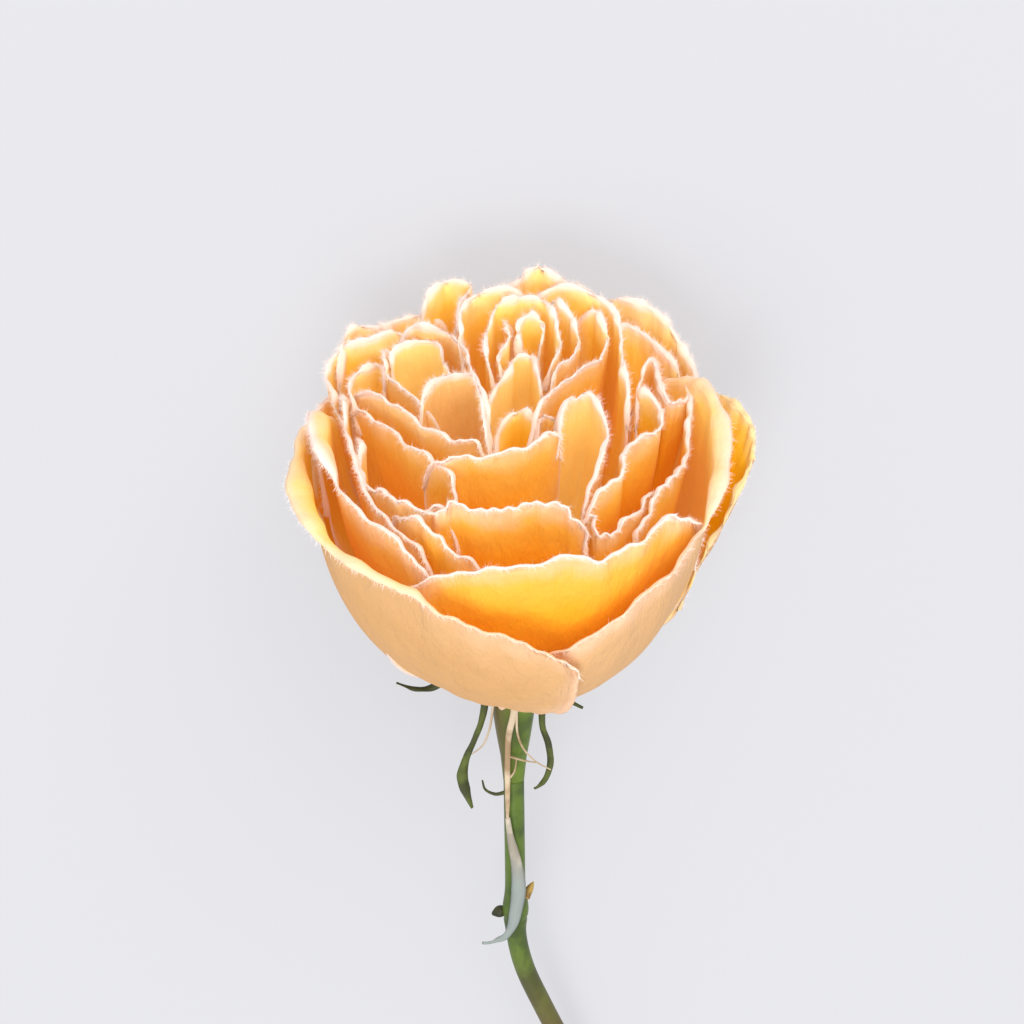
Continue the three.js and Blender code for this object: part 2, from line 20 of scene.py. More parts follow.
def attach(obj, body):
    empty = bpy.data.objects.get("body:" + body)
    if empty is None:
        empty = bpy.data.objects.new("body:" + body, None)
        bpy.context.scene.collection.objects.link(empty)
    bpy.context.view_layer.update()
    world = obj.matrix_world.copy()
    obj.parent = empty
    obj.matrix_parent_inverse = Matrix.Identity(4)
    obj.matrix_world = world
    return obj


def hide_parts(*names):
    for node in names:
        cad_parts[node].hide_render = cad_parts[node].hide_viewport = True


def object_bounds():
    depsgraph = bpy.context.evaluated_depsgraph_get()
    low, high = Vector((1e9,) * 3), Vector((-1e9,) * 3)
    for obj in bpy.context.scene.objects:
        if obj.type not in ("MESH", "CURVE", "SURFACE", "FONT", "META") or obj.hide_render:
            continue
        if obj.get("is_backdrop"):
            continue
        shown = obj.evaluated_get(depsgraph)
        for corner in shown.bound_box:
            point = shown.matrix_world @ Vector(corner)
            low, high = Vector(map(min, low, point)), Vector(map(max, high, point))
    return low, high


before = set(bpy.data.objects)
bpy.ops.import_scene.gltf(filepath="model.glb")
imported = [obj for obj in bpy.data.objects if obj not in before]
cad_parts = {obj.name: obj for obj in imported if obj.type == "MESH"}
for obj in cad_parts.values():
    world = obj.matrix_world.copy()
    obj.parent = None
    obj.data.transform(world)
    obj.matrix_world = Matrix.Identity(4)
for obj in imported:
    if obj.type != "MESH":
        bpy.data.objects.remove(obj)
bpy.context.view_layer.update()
MM = 0.001
print("pieces to dress:", len(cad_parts))

# %% [markdown]
# ## Where the head is
#
# A rose is drawn most easily standing up: across, away and along the head's own axis. The flower
# lies on its side, so one function turns such upright millimetres into the table's metres. The
# styles in the middle of the flower stand exactly on the head's axis, which makes them the mark
# that everything else is measured from.

# %% Find the head's axis from the styles
HEAD_TILT = math.radians(21)
STYLES_FOOT = 14.7
STAND_UP = Matrix.Rotation(math.pi / 2 - HEAD_TILT, 3, "X")
marks = [STAND_UP @ v.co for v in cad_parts["styles"].data.vertices]
low = [min(p[k] for p in marks) for k in range(3)]
high = [max(p[k] for p in marks) for k in range(3)]
ATTACHMENT = STAND_UP.inverted() @ Vector(
    ((low[0] + high[0]) / 2, (low[1] + high[1]) / 2, low[2] - STYLES_FOOT * MM))
LAY_DOWN = np.array(STAND_UP.inverted())


def on_table(points):
    """Upright millimetres of the head's frame, as metres on the table."""
    return np.asarray(points, float) * MM @ LAY_DOWN.T + np.array(ATTACHMENT)


print("petals are attached at", [round(c, 4) for c in ATTACHMENT])

# %% [markdown]
# ## The camera
#
# The eye is a long lens about 60 centimetres off, 40 degrees above the rim of the flower, so that it
# looks into the bloom and down its front at once. The direction is given in the head's frame, and the
# flower's axis stays upright in the picture.

# %% Place the camera
EYE_RISE = math.radians(40)
EYE_DISTANCE = 592.6
AIM = np.array([-0.4, -0.9, 38.9])
LENS = 100

towards_eye = np.array([0, -math.cos(EYE_RISE), math.sin(EYE_RISE)])
picture_up = np.array([0, math.sin(EYE_RISE), math.cos(EYE_RISE)])
camera_data = bpy.data.cameras.new("camera")
camera_data.lens = LENS
camera_data.clip_start = 0.01
camera = bpy.data.objects.new("camera", camera_data)
bpy.context.collection.objects.link(camera)
axes = np.array([[1, 0, 0], picture_up, towards_eye]) @ LAY_DOWN.T
eye = on_table(AIM + EYE_DISTANCE * towards_eye)
camera.matrix_world = Matrix.Translation(eye) @ Matrix(axes.T).to_4x4()
bpy.context.scene.camera = camera
print("camera at", [round(c, 3) for c in camera.matrix_world.translation])

# %% [markdown]
# ## Table, room and light
#
# The studio is a pale sweep that is lit from below as well, like a light table. A petal is soft and
# lets light through, so hard lamps would only make it look like plastic. One large panel above the
# top of the flower gives the shape, a smaller one fills from the front, and the pale room does the
# rest.

# %% Lay the table
TABLE_SIZE = 6.0
bm = bmesh.new()
bmesh.ops.create_grid(bm, x_segments=1, y_segments=1, size=TABLE_SIZE / 2)
table_mesh = bpy.data.meshes.new("table")
bm.to_mesh(table_mesh)
bm.free()
table = bpy.data.objects.new("table", table_mesh)
bpy.context.collection.objects.link(table)
table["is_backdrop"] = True
paper = bpy.data.materials.new("pale_paper")
paper.use_nodes = True
paper_shader = paper.node_tree.nodes["Principled BSDF"]
paper_shader.inputs["Base Color"].default_value = (0.205, 0.205, 0.214, 1)
paper_shader.inputs["Emission Color"].default_value = (0.96, 0.96, 1.0, 1)
paper_shader.inputs["Emission Strength"].default_value = 0.5
paper_shader.inputs["Roughness"].default_value = 0.9
paper_shader.inputs["Specular IOR Level"].default_value = 0.1
table_mesh.materials.append(paper)
print("table", TABLE_SIZE, "m wide")

# %% Hang the lights
bpy.context.scene.view_settings.view_transform = "Standard"
room = bpy.data.worlds.new("room")
bpy.context.scene.world = room
room.use_nodes = True
room.node_tree.nodes["Background"].inputs["Color"].default_value = (0.95, 0.97, 1.0, 1)
room.node_tree.nodes["Background"].inputs["Strength"].default_value = 0.93


def panel(name, place, width, power, colour):
    """A square area light that looks at the flower's head."""
    data = bpy.data.lights.new(name, "AREA")
    data.shape = "SQUARE"
    data.size = width
    data.energy = power
    data.color = colour
    light = bpy.data.objects.new(name, data)
    light.location = place
    aim = Vector(on_table([0, 0, 45])) - Vector(place)
    light.rotation_euler = aim.to_track_quat("-Z", "Y").to_euler()
    bpy.context.collection.objects.link(light)
    return light


panel("top_panel", (0.35, 1.0, 1.0), 1.2, 12, (1.0, 0.98, 0.95))
panel("front_panel", (-0.25, -0.4, 1.3), 0.8, 10, (1.0, 0.99, 0.96))
print("lights hung")

# %% [markdown]
# ## Petal skin
#
# A rose petal is a thin, wet sheet with a velvet surface: it glows when light comes through, its
# colour is deepest low down and washes out towards the rim, and fine veins fan out from its foot.
# Three things carry the colour: a painted value that says how far each spot is from the edge, the
# petal's own map (across, along) for the veins, and values per petal that say how pale, blushed and
# downy it is. Some of the light passes through to the other side, and a faint painted glow, the
# petal's own colour given off as light, stands for the light that wanders sideways inside the sheet.

# %% Small helpers for shader nodes
def shader_tree(name):
    """A new material with its Principled shader and a short way to add linked nodes."""
    material = bpy.data.materials.new(name)
    material.use_nodes = True
    tree = material.node_tree
    return material, tree, tree.nodes["Principled BSDF"]


def add(tree, kind, inputs=(), **settings):
    """Adds one node, sets its properties, and fills or links its inputs."""
    node = tree.nodes.new(kind)
    for key, value in settings.items():
        setattr(node, key, value)
    for key, value in dict(inputs).items():
        if isinstance(value, bpy.types.NodeSocket):
            tree.links.new(value, node.inputs[key])
        else:
            node.inputs[key].default_value = value
    return node


def painted(tree, name):
    """The value that was painted on the mesh under this name."""
    return add(tree, "ShaderNodeAttribute", attribute_name=name).outputs["Fac"]


def between(tree, value, low, high):
    """Turns a value between low and high into 0 to 1, with soft ends."""
    node = add(tree, "ShaderNodeMapRange", {"Value": value, "From Min": low, "From Max": high},
               interpolation_type="SMOOTHSTEP")
    return node.outputs["Result"]


def blend(tree, share, first, second, mode="MIX"):
    """Mixes two colours; each is a colour or another node's output."""
    node = add(tree, "ShaderNodeMix", data_type="RGBA", blend_type=mode)
    for socket, value in ((0, share), (6, first), (7, second)):
        if isinstance(value, bpy.types.NodeSocket):
            tree.links.new(value, node.inputs[socket])
        else:
            node.inputs[socket].default_value = value
    return node.outputs[2]


def times(tree, first, second, operation="MULTIPLY"):
    """One sum on two values."""
    return add(tree, "ShaderNodeMath", {0: first, 1: second}, operation=operation).outputs[0]


def grain(tree, scale, detail=3.0, stretch=(1, 1, 1), on_map=False):
    """Noise on the piece's own map, or in space, stretched as asked."""
    source = add(tree, "ShaderNodeTexCoord").outputs["UV" if on_map else "Object"]
    placed = add(tree, "ShaderNodeMapping", {"Vector": source, "Scale": stretch}).outputs[0]
    noise = add(tree, "ShaderNodeTexNoise", {"Vector": placed, "Scale": scale, "Detail": detail})
    return noise.outputs["Fac"]


def colour(red, green, blue):
    """A screen colour, 0 to 255 a channel, as the linear colour that shaders use."""
    def linear(c):
        c /= 255
        return c / 12.92 if c <= 0.04045 else ((c + 0.055) / 1.055) ** 2.4
    return (linear(red), linear(green), linear(blue), 1)


# %% Petal materials, one for each face of a petal
RIM_WIDTH = 2.3
GLOW_SHARE = 0.14
# Strength of the painted glow that the petals give off.
PAINTED_GLOW = 0.11


def petal_skin(name, deep, middle, light, rim, through_colour, vein_share, relief):
    """Velvet petal skin: deep colour far from the edge, light near it, pale on the very rim."""
    material, tree, skin = shader_tree(name)
    edge = painted(tree, "edge")
    wander = times(tree, times(tree, grain(tree, 130), 0.5, "SUBTRACT"), 9.0)
    edge_soft = times(tree, edge, wander, "ADD")
    body = blend(tree, between(tree, edge_soft, 5.0, 17.0), middle, deep)
    body = blend(tree, between(tree, edge_soft, 7.0, 0.5), body, light)
    body = blend(tree, painted(tree, "pale"), body, light)
    blush = times(tree, painted(tree, "blush"), between(tree, edge_soft, 8.0, 0.0))
    body = blend(tree, blush, body, colour(244, 200, 168))
    veins = grain(tree, 1.0, 5.0, stretch=(1.3, 0.1, 1), on_map=True)
    body = blend(tree, times(tree, between(tree, veins, 0.45, 0.75), vein_share), body, deep)
    frayed = between(tree, times(tree, edge, times(tree, wander, 0.12), "ADD"), RIM_WIDTH, 0.1)
    final = blend(tree, times(tree, frayed, painted(tree, "fuzz")), body, rim)
    tree.links.new(final, skin.inputs["Base Color"])
    skin.inputs["Roughness"].default_value = 0.7
    skin.inputs["Specular IOR Level"].default_value = 0.12
    skin.inputs["Sheen Weight"].default_value = 0.05
    # Painted glow: the petal's own colour is given off as light, in place of light scattered sideways inside
    # the sheet.
    tree.links.new(final, skin.inputs["Emission Color"])
    skin.inputs["Emission Strength"].default_value = PAINTED_GLOW
    skin.inputs["Sheen Roughness"].default_value = 0.4
    crumple = grain(tree, 0.22, 2.0, stretch=(1, 0.7, 1), on_map=True)
    leather = grain(tree, 1.9, 2.0, stretch=(1, 0.6, 1), on_map=True)
    height = times(tree, times(tree, leather, 0.25), times(tree, crumple, 1.2), "ADD")
    bump = add(tree, "ShaderNodeBump", {"Height": height, "Strength": relief, "Distance": 1.0 * MM})
    tree.links.new(bump.outputs[0], skin.inputs["Normal"])
    through = add(tree, "ShaderNodeBsdfTranslucent", {"Color": through_colour})
    both = add(tree, "ShaderNodeMixShader", {0: GLOW_SHARE, 1: skin.outputs[0], 2: through.outputs[0]})
    tree.links.new(both.outputs[0], tree.nodes["Material Output"].inputs["Surface"])
    return material


RIM_COLOUR = colour(255, 232, 222)
inside = petal_skin("petal_inside", colour(255, 182, 0), colour(255, 204, 50), colour(255, 226, 142),
                    RIM_COLOUR, colour(255, 214, 90), 0.1, 0.6)
outside = petal_skin("petal_outside", colour(248, 172, 6), colour(243, 182, 62), colour(240, 196, 128),
                     RIM_COLOUR, colour(255, 214, 90), 0.12, 0.9)
guard_outside = petal_skin("guard_outside", colour(204, 160, 106), colour(210, 168, 118),
                           colour(214, 174, 128), colour(238, 206, 182), colour(240, 205, 140), 0.1, 0.9)
print("petal skins:", [m.name for m in (inside, outside, guard_outside)])

# %% [markdown]
# ## The shape of one petal
#
# Every petal of a rose is the same idea bent in another way: a sheet that leaves the head's middle on
# a short arc, swells outwards and rises to a rim. So one formula makes them all. The rim is a smooth
# line through a few given points. From the foot each strand of the sheet runs outwards first
# and upwards later, like the quarter of an ellipse; the cup angle decides how much. At the end the
# rim can roll outwards as a lip, and ripples, strongest at the edge, keep it from looking moulded.

# %% The smooth line through a petal's rim
SMALLEST_STEP = 1e-4
PETAL_THICKNESS = 0.38
PRESSED_HEIGHT = 0.3
STEPS_PER_SPAN = 9
BODY_STEPS = 34
LIP_STEPS = 7
LIP_TURN = math.radians(135)
SMALLEST_LIP = 1.5
FULL_LIP = 3  # lips this wide roll all the way
CORNER_WIDTH = 5
FOOT_RADIUS = 5.6
FOOT_RADIUS_STEP = 0.085
FOOT_RISE_STEP = 0.3
FOOT_SPREAD = 0.3


def smooth_line(points, spots):
    """Points on the centripetal curve through a list of points, at the given places along it."""
    points = np.asarray(points, float)
    line = []
    ends = np.vstack([2 * points[0] - points[1], points, 2 * points[-1] - points[-2]])
    for spot in spots:
        span = min(int(spot), len(points) - 2)
        p0, p1, p2, p3 = ends[span:span + 4]
        steps = ((p0, p1), (p1, p2), (p2, p3))
        gap0, gap1, gap2 = (max(np.linalg.norm(b - a), SMALLEST_STEP) ** 0.5 for a, b in steps)
        leave = ((p1 - p0) / gap0 - (p2 - p0) / (gap0 + gap1) + (p2 - p1) / gap1) * gap1
        arrive = ((p2 - p1) / gap1 - (p3 - p1) / (gap1 + gap2) + (p3 - p2) / gap2) * gap1
        t = spot - span
        line.append((2 * t ** 3 - 3 * t ** 2 + 1) * p1 + (t ** 3 - 2 * t ** 2 + t) * leave
                    + (3 * t ** 2 - 2 * t ** 3) * p2 + (t ** 3 - t ** 2) * arrive)
    return np.array(line)


# %% The sheet of one petal
def normals_of(sheet):
    """Unit normals of a grid of points, by differences between neighbours."""
    across = np.gradient(sheet, axis=0)
    along = np.gradient(sheet, axis=1)
    normal = np.cross(across, along)
    return normal / np.maximum(np.linalg.norm(normal, axis=2, keepdims=True), 1e-9)


def edge_distance(sheet):
    """How far each grid point is from the nearest free edge, in millimetres along the sheet."""
    up = np.linalg.norm(np.diff(sheet, axis=1), axis=2)
    to_rim = np.hstack([np.cumsum(up[:, ::-1], axis=1)[:, ::-1], np.zeros((len(sheet), 1))])
    side = np.linalg.norm(np.diff(sheet, axis=0), axis=2)
    from_first = np.vstack([np.zeros((1, sheet.shape[1])), np.cumsum(side, axis=0)])
    to_last = from_first[-1:] - from_first
    return np.minimum(to_rim, np.minimum(from_first, to_last))


def ripple(columns, seed, wave):
    """A smooth wavy line along the rim, between -1 and 1, different for each petal."""
    chance = random.Random(seed)
    spots = np.arange(columns) / STEPS_PER_SPAN
    line = np.zeros(columns)
    for share, pace in ((0.6, 1.0), (0.4, 2.3)):
        line += share * np.sin(2 * math.pi * spots * pace / wave + chance.uniform(0, 2 * math.pi))
    return line


WAVE_SPANS, WAVE_DEPTH = 1.3, 5  # a ripple's length in rim spans, and how deep it reaches in mm
SWELL_SPANS, SWELL_DEPTH, SWELL_HEIGHT = 2.6, 16, 0.7
TEAR_SPANS, TEAR_HEIGHT = 0.45, 0.25


def petal_sheet(order, rim, cup=88, lip=(), ruffle=0.5, corner=5, seed=0):
    """The grid of points of one petal: columns along the rim, rows from the foot to the edge."""
    rim = np.asarray(rim, float)
    spans = len(rim) - 1
    lip = np.array([lip[k] if k < len(lip) else 0 for k in range(len(rim))], float)
    lip = np.maximum(lip, SMALLEST_LIP)
    bearings = np.unwrap(np.arctan2(rim[:, 1], rim[:, 0]))
    if bearings[-1] < bearings[0]:
        rim, lip, bearings = rim[::-1], lip[::-1], bearings[::-1]
    spots = np.linspace(0, spans, STEPS_PER_SPAN * spans + 1)
    top = smooth_line(rim, spots)
    lip_width = np.interp(spots, range(len(rim)), lip)
    along = np.concatenate([[0], np.cumsum(np.linalg.norm(np.diff(top, axis=0), axis=1))])
    from_end = np.minimum(along, along[-1] - along)
    top[:, 2] -= corner * np.clip(1 - from_end / CORNER_WIDTH, 0, 1) ** 2
    share = spots / spans
    sweep = min(bearings[-1] - bearings[0], 2.6)
    bearing = (bearings[0] + bearings[-1]) / 2 + (share - 0.5) * sweep * FOOT_SPREAD * 2
    foot_radius = FOOT_RADIUS - FOOT_RADIUS_STEP * order
    foot = np.stack([foot_radius * np.cos(bearing), foot_radius * np.sin(bearing),
                     np.full(len(bearing), FOOT_RISE_STEP * order)], axis=1)
    rise = math.radians(cup)
    v = np.linspace(0, rise, BODY_STEPS + 1)
    out, up = np.sin(v) / math.sin(rise), (1 - np.cos(v)) / (1 - math.cos(rise))
    level = foot[:, None, :2] + (top - foot)[:, None, :2] * out[None, :, None]
    height = foot[:, None, 2] + (top - foot)[:, None, 2] * up[None, :]
    body = np.dstack([level, height])
    away = top * [1, 1, 0]
    away /= np.linalg.norm(away, axis=1, keepdims=True)
    turn = np.linspace(0, 1, LIP_STEPS + 1)[1:] * LIP_TURN
    turn = turn[None, :] * np.clip(lip_width / FULL_LIP, 0.35, 1)[:, None]
    roll = lip_width[:, None] / turn[:, -1:]
    curl = top[:, None, :] + away[:, None, :] * (roll * (1 - np.cos(turn)))[:, :, None]
    curl[:, :, 2] += roll * np.sin(turn) * np.clip(lip_width / FULL_LIP, 0, 1)[:, None]
    sheet = np.concatenate([body, curl], axis=1)
    edge = edge_distance(sheet)
    wave = ripple(len(spots), seed, WAVE_SPANS)[:, None] * ruffle * np.exp(-edge / WAVE_DEPTH)
    swell = ripple(len(spots), seed + 50, SWELL_SPANS)[:, None] * SWELL_HEIGHT * np.exp(-edge / SWELL_DEPTH)
    sheet = sheet + normals_of(sheet) * (wave + swell)[:, :, None]
    sheet[:, -1:, 2] += (ripple(len(spots), seed + 99, TEAR_SPANS) * TEAR_HEIGHT)[:, None]
    return sheet, edge


# %% From grid to mesh
def press_on_table(points):
    """Points that would sink into the table are pressed flat on it."""
    points[..., 2] = np.maximum(points[..., 2], PRESSED_HEIGHT * MM)
    return points


def sheet_mesh(name, points, painted_values, closed=False):
    """A mesh from a grid of table points, with its map in millimetres and painted values."""
    columns, rows = points.shape[:2]
    bm = bmesh.new()
    bmesh.ops.create_grid(bm, x_segments=columns - 1, y_segments=rows - 1, size=1)
    bm.verts.ensure_lookup_table()
    layers = {key: bm.verts.layers.float.new(key) for key in painted_values}
    around = np.linalg.norm(np.diff(points[:, rows * 2 // 3], axis=0), axis=1).sum() / MM
    length = np.linalg.norm(np.diff(points[columns // 2], axis=0), axis=1).sum() / MM
    place = {}
    for vertex in bm.verts:
        i = round((vertex.co.x + 1) / 2 * (columns - 1))
        j = round((vertex.co.y + 1) / 2 * (rows - 1))
        place[vertex] = (i, j)
        vertex.co = points[i, j]
        for key, layer in layers.items():
            value = painted_values[key]
            vertex[layer] = float(value[i, j]) if isinstance(value, np.ndarray) else value
    uv = bm.loops.layers.uv.new("map")
    for face in bm.faces:
        face.smooth = True
        for loop in face.loops:
            i, j = place[loop.vert]
            loop[uv].uv = (i / (columns - 1) * around, j / (rows - 1) * length)
    if closed:
        bmesh.ops.remove_doubles(bm, verts=bm.verts, dist=1e-6)
        rim_edges = [edge for edge in bm.edges if edge.is_boundary]
        bmesh.ops.holes_fill(bm, edges=rim_edges)
        bmesh.ops.recalc_face_normals(bm, faces=bm.faces)
    mesh = bpy.data.meshes.new(name)
    bm.to_mesh(mesh)
    bm.free()
    return mesh


def piece(name, mesh, materials, node):
    """Puts a finished mesh in the scene in place of its plain solid."""
    made = bpy.data.objects.new(name, mesh)
    for material in materials:
        mesh.materials.append(material)
    bpy.context.collection.objects.link(made)
    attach(made, "root")
    if node:
        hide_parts(node)
    return made


def thicken(made, thickness, second=0, rim=0):
    """Gives a sheet its thickness, evenly to both sides, with its other face in another material."""
    wall = made.modifiers.new("thickness", "SOLIDIFY")
    wall.thickness = thickness * MM
    wall.offset = 0
    wall.material_offset = second
    wall.material_offset_rim = rim
    return wall


print("petal formula ready")

# %% [markdown]
# ## The petals, from the outside in
#
# Each rim is a smooth line through [x, y, height] points in upright millimetres. `cup` says how the
# sheet rises (under 90 it flares, over 90 it closes over), `lip` how far the edge rolls outwards at
# each rim point. `pale` and `blush` set the colour, `ruffle` how strongly the edge ripples. Outer
# petals are older: tan, blushed and torn at the edge. Inner ones are fresher and deeper in colour.

